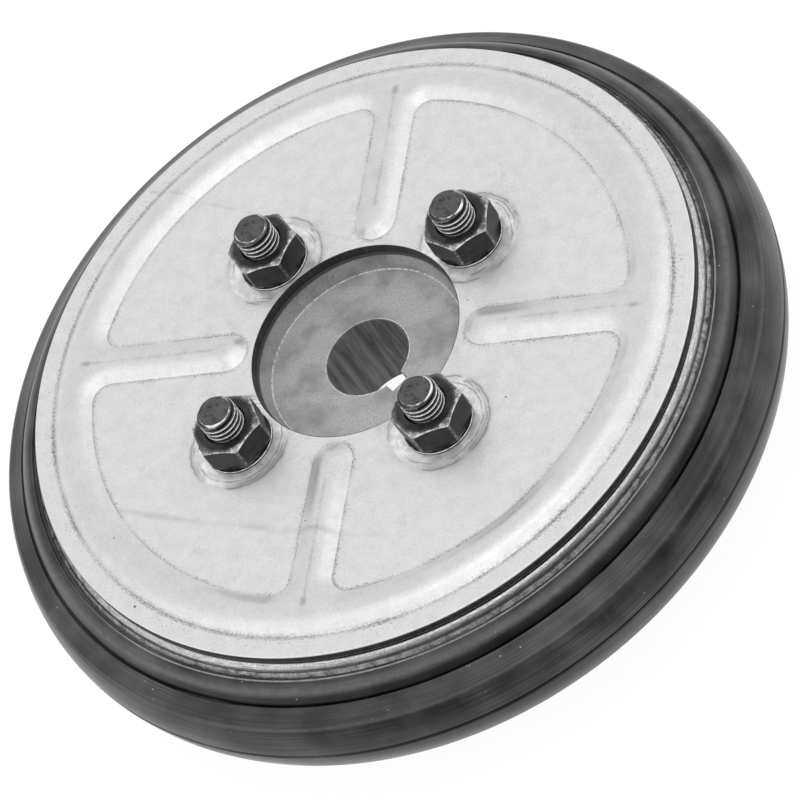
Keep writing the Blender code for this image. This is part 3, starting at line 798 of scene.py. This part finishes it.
def tyre_section(angle):
    """Both halves differ, because each side has its own flash and its own waves."""
    upper = [(r, core_top_z - drop) for r, drop in half_tyre(angle, 1.0)]
    lower = [(r, core_bottom_z + drop) for r, drop in reversed(half_tyre(angle, -1.0))]
    return upper + lower


# Moulded black rubber: near black and satin, with painted highlights on the bead's top and along the
# lip, a paler shoulder edge, painted shade in the crease, lines left by the mould's turning, and grains of
# pale dust.
rubber_black = "#222222"
rubber_bloom = "#464646"
rubber_bead_highlight = "#646464"
rubber_lip_highlight = "#A6A6A6"
rubber_scuff_and_sheen = "#5C5C5C"
rubber_crease_shade = "#060606"
rubber_dust = "#9C9C9C"
rubber, tree, shader, place = start_material("moulded_black_rubber", 0.0, 0.4)
shader.inputs["Specular IOR Level"].default_value = 0.32
axes, flat, radius = about_axis(tree, place)
round_the_axis = add_node(tree, "VectorMath", {0: flat}, operation="NORMALIZE")
bloom = add_node(tree, "TexNoise", {"Vector": place, "Scale": 1 / (12 * MM), "Detail": 6.0})
bloom_mask = add_node(tree, "MapRange", {0: bloom, 1: 0.40, 2: 0.72})
bloomed = add_node(tree, "Mix", {0: bloom_mask, 6: rubber_black, 7: rubber_bloom}, data_type="RGBA")

# The marks of the mould's turning are drawn 0.45 mm apart, coarser than they are, so that they
# show. They go by radius on the shoulder and by height on the tread.
mark_level = add_node(tree, "Math", {0: radius, 1: axes.outputs[2]}, operation="SUBTRACT")
mark_count = add_node(tree, "Math", {0: mark_level, 1: 1 / (0.45 * MM)}, operation="MULTIPLY")
mark_along = add_node(tree, "VectorMath", {0: round_the_axis, "Scale": 4.0}, operation="SCALE")
marks = add_node(tree, "TexNoise", {"Vector": mark_along, "W": mark_count, "Scale": 1.0, "Detail": 3.0},
                 noise_dimensions="4D")
mark_tone = add_node(tree, "MapRange", {0: marks, 1: 0.3, 2: 0.7, 3: 0.62, 4: 1.90})
lined = add_node(tree, "VectorMath", {0: bloomed, "Scale": mark_tone}, operation="SCALE")

# The bead's rounded top is painted lighter, as a highlight.
scuffs = add_node(tree, "TexNoise",
                  {"Vector": place, "Scale": 1 / (1.6 * MM), "Detail": 5.0, "Roughness": 0.65})
bead_inner = add_node(tree, "MapRange",
                      {0: radius, 1: lip_radius + 0.6 * MM, 2: bead_outer_radius - 1.4 * MM})
bead_outer = add_node(tree, "MapRange",
                      {0: radius, 1: bead_outer_radius - 0.6 * MM, 2: bead_outer_radius - 1.3 * MM})
bead_share = add_node(tree, "MapRange", {0: scuffs, 1: 0.3, 2: 0.7, 3: 0.45})
bead_top = add_node(tree, "Math", {0: bead_inner, 1: bead_outer}, operation="MULTIPLY")
bead_highlight_mask = add_node(tree, "Math", {0: bead_top, 1: bead_share}, operation="MULTIPLY")

# The lip carries a thin painted highlight, broken up and strongest on the camera's side.
at_lip = add_node(tree, "Math", {0: radius, 1: lip_radius + 0.05 * MM, 2: 0.14 * MM}, operation="COMPARE")
towards_camera = add_node(tree, "VectorMath", {0: round_the_axis, 1: camera_side}, operation="DOT_PRODUCT")
camera_side_share = add_node(tree, "MapRange", {0: towards_camera, 1: 0.05, 2: 0.40, 3: 0.12})
lip_highlight_broken = add_node(tree, "Math", {0: at_lip, 1: bead_share}, operation="MULTIPLY")
lip_highlight_mask = add_node(tree, "Math", {0: lip_highlight_broken, 1: camera_side_share}, operation="MULTIPLY")

# The shoulder's edge is painted paler all round, partly as scuffing and partly as a painted sheen; the bead's
# outer corner is painted paler away from the camera's side, as a highlight.
at_edge = near_level(tree, radius, shoulder_edge_radius - 0.35 * MM, 0.42 * MM, 0.05 * MM)
edge_share = add_node(tree, "MapRange", {0: scuffs, 1: 0.35, 2: 0.65, 3: 0.30, 4: 0.62})
edge_scuff_and_sheen = add_node(tree, "Math", {0: at_edge, 1: edge_share}, operation="MULTIPLY")
at_corner = near_level(tree, radius, bead_outer_radius - 0.35 * MM, 0.26 * MM, 0.04 * MM)
corner_highlight_share = add_node(tree, "MapRange", {0: towards_camera, 1: 0.20, 2: -0.05, 4: 0.6})
corner_highlight = add_node(tree, "Math", {0: at_corner, 1: corner_highlight_share}, operation="MULTIPLY")
scuff_and_highlight_mask = add_node(tree, "Math", {0: edge_scuff_and_sheen, 1: corner_highlight}, operation="MAXIMUM")

# The crease between bead and shoulder, and the bead's outer foot, are painted near black as shade, most on
# the camera's side; the mould's joint is drawn as a black line.
at_crease = add_node(tree, "Math", {0: radius, 1: crease_radius, 2: 0.22 * MM}, operation="COMPARE")
crease_share = add_node(tree, "MapRange", {0: camera_side_share, 3: 0.30})
crease_shade = add_node(tree, "Math", {0: at_crease, 1: crease_share}, operation="MULTIPLY")
bead_foot = add_node(tree, "MapRange",
                     {0: radius, 1: bead_outer_radius - 1.0 * MM, 2: bead_outer_radius - 0.2 * MM, 4: 0.65})
on_bead = add_node(tree, "Math", {0: radius, 1: crease_radius}, operation="LESS_THAN")
foot_within = add_node(tree, "Math", {0: bead_foot, 1: on_bead}, operation="MULTIPLY")
bead_foot_shade = add_node(tree, "Math", {0: foot_within, 1: camera_side_share}, operation="MULTIPLY")
shade_and_dark_line_mask = add_node(tree, "Math", {0: axes.outputs[2], 1: core_middle_z, 2: 0.30 * MM}, operation="COMPARE")
for each in (crease_shade, bead_foot_shade):
    shade_and_dark_line_mask = add_node(tree, "Math", {0: shade_and_dark_line_mask, 1: each}, operation="MAXIMUM")

dust_mask = specks(tree, place, 1.8 * MM, 0.60, 0.198 * MM)
rubber_colour = lined
for mask, over in ((bead_highlight_mask, rubber_bead_highlight), (lip_highlight_mask, rubber_lip_highlight), (scuff_and_highlight_mask, rubber_scuff_and_sheen),
                   (shade_and_dark_line_mask, rubber_crease_shade), (dust_mask, rubber_dust)):
    rubber_colour = add_node(tree, "Mix", {0: mask, 6: rubber_colour, 7: over}, data_type="RGBA")
rubber_rough = add_node(tree, "MapRange", {0: bloom, 1: 0.3, 2: 0.7, 3: 0.22, 4: 0.36})
skin = add_node(tree, "TexNoise", {"Vector": place, "Scale": 1 / (0.7 * MM), "Detail": 3.0})
skin_bump = add_node(tree, "Bump", {"Height": skin, "Distance": 0.03 * MM, "Strength": 0.5})
mark_bump = add_node(tree, "Bump",
                     {"Height": marks, "Distance": 0.05 * MM, "Strength": 0.7, "Normal": skin_bump})
set_inputs(tree, shader, {"Base Color": rubber_colour, "Roughness": rubber_rough, "Normal": mark_bump})
show_piece("tyre_moulding", finish_mesh(turned_mesh("tyre_moulding", tyre_section, ring_segments), 50.0),
           [rubber], "tyre_rubber", "rubber_tyre")

# Bolts
# Four M8 hexagon bolts of blackened steel, put in from the back. Their rolled threads stand
# out of the nuts, with crests painted bright as rubbing and as highlights, roots painted black as shade, and
# ends rubbed bright by the spanner and by knocks.
bolt_tip_z = 49.6 * MM
head_height = 5.3 * MM
hex_flat_radius = 6.5 * MM
hex_corner_radius = 7.40 * MM
hex_face_radius = 6.30 * MM
hex_chamfer_rise = math.tan(math.radians(30.0))
wear_band = 0.22 * MM
thread_pitch = 1.25 * MM
thread_root_radius = 3.28 * MM
thread_start_z = 33.0 * MM
thread_fade = 2.5 * MM
end_face_radius = 3.35 * MM
end_chamfer = 0.75 * MM
bolt_sides = 64
head_turns = [math.radians(a) for a in (8.0, 41.0, 22.0, 52.0)]
# Where along a pitch the surface stands at the crest (1) or in the root (0)
thread_shape = [(0.0, 0.98), (0.06, 1.0), (0.125, 0.98), (0.30, 0.48),
                (0.48, 0.04), (0.56, 0.0), (0.645, 0.04), (0.82, 0.48)]
# For each bolt: the side of its end that is knocked bright, and how far round that goes
knocks = [(math.radians(side), math.radians(width))
          for side, width in ((-20.0, 40.0), (200.0, 60.0), (-75.0, 55.0), (15.0, 80.0))]


def hexagon(flat_radius, corner_radius):
    """Outline points of a hexagon with its corners turned off, and a mark of 1 at each corner's edges."""
    corner = math.acos(flat_radius / corner_radius)
    half_side = flat_radius * math.tan(corner)
    steps = [-half_side, -half_side + 0.3 * MM]
    steps += [half_side * (i / 4 - 1.0) * 0.85 for i in range(1, 8)]
    steps += [half_side - 0.3 * MM, half_side]
    points = []
    marks = []
    for side in range(6):
        for i, across in enumerate(steps):
            points += turned([(flat_radius, across)], math.radians(60.0 * side))
            marks.append(1.0 if i in (0, len(steps) - 1) else 0.0)
    return points, marks


def ring_points(radius, angles):
    """Points in the plane at one distance from the axis."""
    return [(radius * math.cos(angle), radius * math.sin(angle)) for angle in angles]


def add_ring(bm, points, heights, layer, wear_and_painted_light):
    """A loop of vertices. Its heights and its wear and painted light are one value, or a list with each
    point's own.
    """
    verts = []
    for i, (x, y) in enumerate(points):
        vert = bm.verts.new((x, y, heights[i] if isinstance(heights, list) else heights))
        vert[layer] = wear_and_painted_light[i] if isinstance(wear_and_painted_light, list) else wear_and_painted_light
        verts.append(vert)
    return verts


def join_rings(bm, rings):
    """Faces between each ring and the next."""
    for first, second in zip(rings, rings[1:]):
        for i in range(len(first)):
            j = (i + 1) % len(first)
            bm.faces.new((first[i], first[j], second[j], second[i]))


def hexagon_rings(bm, layer, low_z, high_z, top_chamfered):
    """Rings up the outside of a hexagon that is chamfered below, and above if asked."""
    outline, marks = hexagon(hex_flat_radius, hex_corner_radius)
    face = ring_points(hex_face_radius, [math.atan2(y, x) for x, y in outline])
    falls = [(math.hypot(x, y) - hex_face_radius) * hex_chamfer_rise for x, y in outline]
    soft = [0.6 * mark for mark in marks]
    rings = [add_ring(bm, face, low_z, layer, 0.2)]
    # The lower chamfer's edge is painted lighter, partly as wear and partly as the bright reflection of the
    # plate along the nut's foot.
    for below, wear_and_painted_light in ((0.0, 0.6), (wear_band, 0.4), (2 * wear_band, soft)):
        rings.append(add_ring(bm, outline, [low_z + fall + below for fall in falls], layer, wear_and_painted_light))
    if top_chamfered:
        middle = [((x + u) / 2, (y + v) / 2) for (x, y), (u, v) in zip(outline, face)]
        inside = [(0.90 * x, 0.90 * y) for x, y in face]
        for points, drops, wear_and_painted_light in ((outline, [fall + wear_band for fall in falls], soft),
                                    (outline, falls, 0.80), (middle, [fall / 2 for fall in falls], 0.66)):
            rings.append(add_ring(bm, points, [high_z - drop for drop in drops], layer, wear_and_painted_light))
        rings.append(add_ring(bm, face, high_z, layer, 0.58))
        rings.append(add_ring(bm, inside, high_z, layer, 0.0))
    else:
        rings.append(add_ring(bm, outline, high_z - wear_band, layer, soft))
        rings.append(add_ring(bm, outline, high_z, layer, 1.0))
    return rings


def add_thread(bm, layer, knock):
    """A right-hand helix that fades into the shank and runs over the end to its centre."""
    knock_angle, knock_width = knock
    count = len(thread_shape)
    turns = int((bolt_tip_z - thread_start_z + end_face_radius) / thread_pitch) + 3
    rows = turns * count
    grid = []
    for i in range(bolt_sides):
        angle = 2.0 * math.pi * i / bolt_sides
        apart = abs(math.remainder(angle - knock_angle, 2.0 * math.pi))
        near = max(0.0, 1.0 - apart / knock_width)
        column = []
        for j in range(rows):
            turn, k = divmod(j, count)
            along, stand = thread_shape[k]
            s = thread_start_z + (turn + along + i / bolt_sides - 1.0) * thread_pitch
            fade = min(1.0, max(0.0, (s - thread_start_z) / thread_fade))
            crest = thread_root_radius + (bolt_radius - thread_root_radius) * (1.0 - (1.0 - stand) * fade)
            # Crests are painted bright, as rubbing and as highlight, and roots near black as painted shade.
            wear_and_painted_light = (1.05 * stand ** 3 - 0.8 * (1.0 - stand) ** 2) * fade
            over = s - bolt_tip_z
            taper = end_face_radius + max(0.0, bolt_tip_z - s) * (bolt_radius - end_face_radius) / end_chamfer
            if over > 0.0:
                r = max(0.0, end_face_radius - over)
                z = bolt_tip_z
                wear_and_painted_light = max(0.38, 1.10 - over / (0.16 * MM))
            else:
                r = min(crest, taper)
                z = max(s, thread_start_z)
                if over > -end_chamfer:
                    wear_and_painted_light = max(wear_and_painted_light if r < taper else 0.5, 0.95 + 1.1 * near + over / (0.3 * MM))
            vert = bm.verts.new((r * math.cos(angle), r * math.sin(angle), z))
            vert[layer] = wear_and_painted_light
            column.append(vert)
        grid.append(column)
    for i in range(bolt_sides):
        following = grid[(i + 1) % bolt_sides]
        shift = 0 if i + 1 < bolt_sides else count
        for j in range(rows - 1):
            if j + 1 + shift < rows:
                bm.faces.new((grid[i][j], following[j + shift], following[j + 1 + shift], grid[i][j + 1]))
    bmesh.ops.remove_doubles(bm, verts=bm.verts, dist=0.002 * MM)


def bolt_mesh(index):
    """Thread, head, and the shank that bridges them, with the head at its own turn."""
    bm = bmesh.new()
    layer = bm.verts.layers.float.new("wear_and_painted_light")
    add_thread(bm, layer, knocks[index])
    rim_edges = [e for e in bm.edges if e.is_boundary]
    rings = hexagon_rings(bm, layer, 0.0, head_height, False)
    bm.faces.new(list(reversed(rings[0])))
    join_rings(bm, rings)
    foot_angles = [2.0 * math.pi * i / bolt_sides for i in range(bolt_sides)]
    shank_foot = add_ring(bm, ring_points(bolt_radius, foot_angles), head_height, layer, 0.0)
    top = rings[-1]
    top_edges = [bm.edges.get((vert, top[(i + 1) % len(top)])) for i, vert in enumerate(top)]
    foot_edges = [bm.edges.new((vert, shank_foot[(i + 1) % bolt_sides])) for i, vert in enumerate(shank_foot)]
    bmesh.ops.triangle_fill(bm, edges=top_edges + foot_edges, use_beauty=True, normal=(0.0, 0.0, 1.0))
    bmesh.ops.bridge_loops(bm, edges=foot_edges + [edge for edge in rim_edges if edge.is_valid])
    for vert in bm.verts:
        if vert.co.z <= head_height:
            vert.co.xy = turned([vert.co.xy], head_turns[index])[0]
    mesh = bpy.data.meshes.new(f"bolt_{index + 1}")
    bm.to_mesh(mesh)
    bm.free()
    return finish_mesh(mesh, 45.0)


# Blackened steel: an oily, almost black oxide with a dull sheen, rubbed through to bare steel
# on corners and chamfer edges; thread crests are painted bright as rubbing and as highlights, and thread
# roots and the gap round each stud near black as painted shade.
oxide_dark = "#3A3A3A"
oxide_light = "#575757"
rubbed_grey = "#666666"
bare_steel = "#E8E8E8"
root_painted_shade = "#101010"
black_steel, tree, shader, place = start_material("blackened_steel", 0.85, 0.4)
wear_and_light_amount = add_node(tree, "Attribute", attribute_name="wear_and_painted_light").outputs["Fac"]
oxide = add_node(tree, "TexNoise",
                 {"Vector": place, "Scale": 1 / (2.5 * MM), "Detail": 6.0, "Roughness": 0.6})
oxide_mask = add_node(tree, "MapRange", {0: oxide, 1: 0.35, 2: 0.70})
# Thread roots, and the gap round each stud in its nut, are painted near black as shade.
root_shade_mask = add_node(tree, "MapRange", {0: wear_and_light_amount, 1: 0.25, 2: -0.35})
rub = add_node(tree, "TexNoise", {"Vector": place, "Scale": 1 / (0.7 * MM), "Detail": 4.0, "Roughness": 0.7})
rub_broad = add_node(tree, "Math", {0: oxide, 1: 0.7, 2: rub}, operation="MULTIPLY_ADD")
rub_level = add_node(tree, "Math", {0: rub_broad, 1: wear_and_light_amount}, operation="ADD")
grey_mask = add_node(tree, "MapRange", {0: rub_level, 1: 1.06, 2: 1.30, 4: 0.7})
rub_mask = add_node(tree, "MapRange", {0: rub_level, 1: 1.42, 2: 1.78})
scrape = add_node(tree, "MapRange", {0: rub, 1: 0.68, 2: 0.80, 4: 0.5})
bare_mask = add_node(tree, "Math", {0: rub_mask, 1: scrape}, operation="MAXIMUM")
steel_colour = oxide_dark
for mask, over in ((oxide_mask, oxide_light), (root_shade_mask, root_painted_shade), (grey_mask, rubbed_grey),
                   (bare_mask, bare_steel)):
    steel_colour = add_node(tree, "Mix", {0: mask, 6: steel_colour, 7: over}, data_type="RGBA")
steel_rough = add_node(tree, "MapRange", {0: oxide, 1: 0.3, 2: 0.7, 3: 0.34, 4: 0.52})
oxide_bump = add_node(tree, "Bump", {"Height": rub, "Distance": 0.04 * MM, "Strength": 0.4})
set_inputs(tree, shader, {"Base Color": steel_colour, "Roughness": steel_rough, "Normal": oxide_bump})
for i, (x, y) in enumerate(bolt_places):
    show_piece(f"threaded_bolt_{i + 1}", bolt_mesh(i), [black_steel], "black_fasteners", f"bolt_{i + 1}",
               matrix=Matrix.Translation((x, y, 0.0)))

# Nuts
# Plain M8 hexagon nuts, blackened like the bolts, chamfered on both faces and countersunk at
# the thread, on a thin round seat. They are screwed down on the front plate, each at its own turn.
nut_height = 6.8 * MM
seat_radius = 7.20 * MM
seat_height = 0.45 * MM
nut_seat_z = front_face_z + 0.02 * MM
countersink_radius = 4.45 * MM
nut_bore_radius = 4.02 * MM
nut_turns = [math.radians(a) for a in (4.0, -19.0, 29.0, -13.0)]
# Radius, height, and wear and painted light of each ring, up the seat's outside and down the bore;
# the bore's upper ring is painted dark as the shade in the gap round the stud.
seat_rings = ((seat_radius - 0.05 * MM, 0.0, 0.2), (seat_radius, 0.05 * MM, 0.3),
              (seat_radius, seat_height - 0.10 * MM, 0.5),
              (seat_radius - 0.02 * MM, seat_height - 0.05 * MM, 0.9),
              (seat_radius - 0.10 * MM, seat_height, 0.9), (seat_radius - 0.22 * MM, seat_height, 0.2))
bore_rings = ((countersink_radius, nut_height, 0.1), (nut_bore_radius, nut_height - 0.35 * MM, -0.5),
              (nut_bore_radius, 0.35 * MM, 0.0), (countersink_radius, 0.0, 0.0))


def nut_mesh(index):
    """Seat, hexagon and countersunk bore, joined into one closed ring."""
    bm = bmesh.new()
    layer = bm.verts.layers.float.new("wear_and_painted_light")
    outer = hexagon_rings(bm, layer, seat_height, nut_height, True)
    angles = [math.atan2(vert.co.y, vert.co.x) for vert in outer[0]]
    seat, bore = [[add_ring(bm, ring_points(r, angles), z, layer, wear_and_painted_light) for r, z, wear_and_painted_light in rings]
                  for rings in (seat_rings, bore_rings)]
    join_rings(bm, [*seat, *outer, *bore, seat[0]])
    mesh = bpy.data.meshes.new(f"nut_{index + 1}")
    bm.to_mesh(mesh)
    bm.free()
    return finish_mesh(mesh, 12.0)


for i, (x, y) in enumerate(bolt_places):
    turn = Matrix.Translation((x, y, nut_seat_z)) @ Matrix.Rotation(nut_turns[i], 4, "Z")
    show_piece(f"hexagon_nut_{i + 1}", nut_mesh(i), [black_steel], "black_fasteners", f"nut_{i + 1}",
               matrix=turn)

# Floor
# A plain white studio sheet under the disc, large enough to fill every view. It looks white to
# the camera and in reflections, and keeps the disc's soft shadow.
floor_colour = "#F4F4F4"
floor_size = 6.0
floor_mesh = bpy.data.meshes.new("floor")
reach = floor_size / 2
floor_corners = [(-reach, -reach, 0.0), (reach, -reach, 0.0), (reach, reach, 0.0), (-reach, reach, 0.0)]
floor_mesh.from_pydata(floor_corners, [], [(0, 1, 2, 3)])
floor = bpy.data.objects.new("floor", floor_mesh)
floor.location = (0.0, 0.0, -0.02 * MM)
bpy.context.scene.collection.objects.link(floor)
floor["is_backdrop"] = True
paper = bpy.data.materials.new("white_paper")
paper.use_nodes = True
tree = paper.node_tree
tree.nodes.remove(tree.nodes["Principled BSDF"])
diffuse = add_node(tree, "BsdfDiffuse", {"Color": floor_colour})
# On the camera's side the room is dim, so in gloss the sheet darkens there with distance.
dim_side = Vector(camera_side)
floor_place = add_node(tree, "TexCoord").outputs["Object"]
ahead = add_node(tree, "VectorMath", {0: floor_place, 1: dim_side}, operation="DOT_PRODUCT")
sheet = add_node(tree, "MapRange", {0: ahead, 1: 98 * MM, 2: 165 * MM, 3: 1.0, 4: 0.12},
                 interpolation_type="SMOOTHSTEP")
path = add_node(tree, "LightPath").outputs
glow = add_node(tree, "Math", {0: path["Is Camera Ray"], 1: sheet}, operation="MAXIMUM")
white_level = add_node(tree, "Math", {0: glow, 1: 1.05}, operation="MULTIPLY")
white = add_node(tree, "Emission", {"Color": "#FFFFFF", "Strength": white_level})
seen = path["Is Camera Ray"]
for ray in ("Is Glossy Ray", "Is Transmission Ray"):
    seen = add_node(tree, "Math", {0: seen, 1: path[ray]}, operation="MAXIMUM")
share = add_node(tree, "Math", {0: seen, 1: 0.90}, operation="MULTIPLY")
mixed = add_node(tree, "MixShader", {0: share, 1: diffuse, 2: white})
set_inputs(tree, tree.nodes["Material Output"], {"Surface": mixed})
floor_mesh.materials.append(paper)

# Light
# A soft studio: bright walls at both sides, plain paper behind the disc, a dim room on the camera's
# side, and one large soft lamp above, a little towards that side.
world = bpy.data.worlds.new("studio")
bpy.context.scene.world = world
world.use_nodes = True
tree = world.node_tree
direction = add_node(tree, "TexCoord").outputs["Generated"]
facing = add_node(tree, "VectorMath", {0: direction, 1: -dim_side}, operation="DOT_PRODUCT")
turned_away = add_node(tree, "MapRange", {0: facing, 1: -1.0})
room = add_node(tree, "ValToRGB", {0: turned_away})
ramp = room.color_ramp.elements
ramp[0].color = (0.14, 0.14, 0.14, 1.0)
ramp[1].color = (0.95, 0.95, 0.95, 1.0)
for position, level in ((0.12, 0.26), (0.20, 0.60), (0.29, 1.04), (0.40, 1.38),
                        (0.56, 1.38), (0.70, 1.00), (0.83, 0.85)):
    ramp.new(position).color = (level, level, level, 1.0)
set_inputs(tree, tree.nodes["Background"], {"Color": room, "Strength": 1.0})
lamp_data = bpy.data.lights.new("soft_lamp", "AREA")
lamp_data.shape = "DISK"
lamp_data.size = 0.68
lamp_data.energy = 0.95
lamp = bpy.data.objects.new("soft_lamp", lamp_data)
lamp.location = 0.42 * dim_side + Vector((0.0, 0.0, 0.82))
lamp.rotation_euler = (-lamp.location).to_track_quat("-Z", "Y").to_euler()
bpy.context.scene.collection.objects.link(lamp)

# Camera
# It looks down on the nut side from the dim side of the room, 49 degrees above the floor, and is
# rolled so that the disc slants in the frame.
camera_data = bpy.data.cameras.new("camera")
camera_data.lens = 171.0
camera_data.sensor_width = 36.0
camera_data.clip_start = 0.01
camera_data.clip_end = 20.0
camera = bpy.data.objects.new("camera", camera_data)
camera.location = (0.31111, -0.38539, 0.58775)
camera.rotation_euler = (math.radians(34.57865), math.radians(23.30484), math.radians(9.06314))
bpy.context.scene.collection.objects.link(camera)
bpy.context.scene.camera = camera
bpy.context.scene.view_settings.view_transform = "Standard"

low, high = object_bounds()
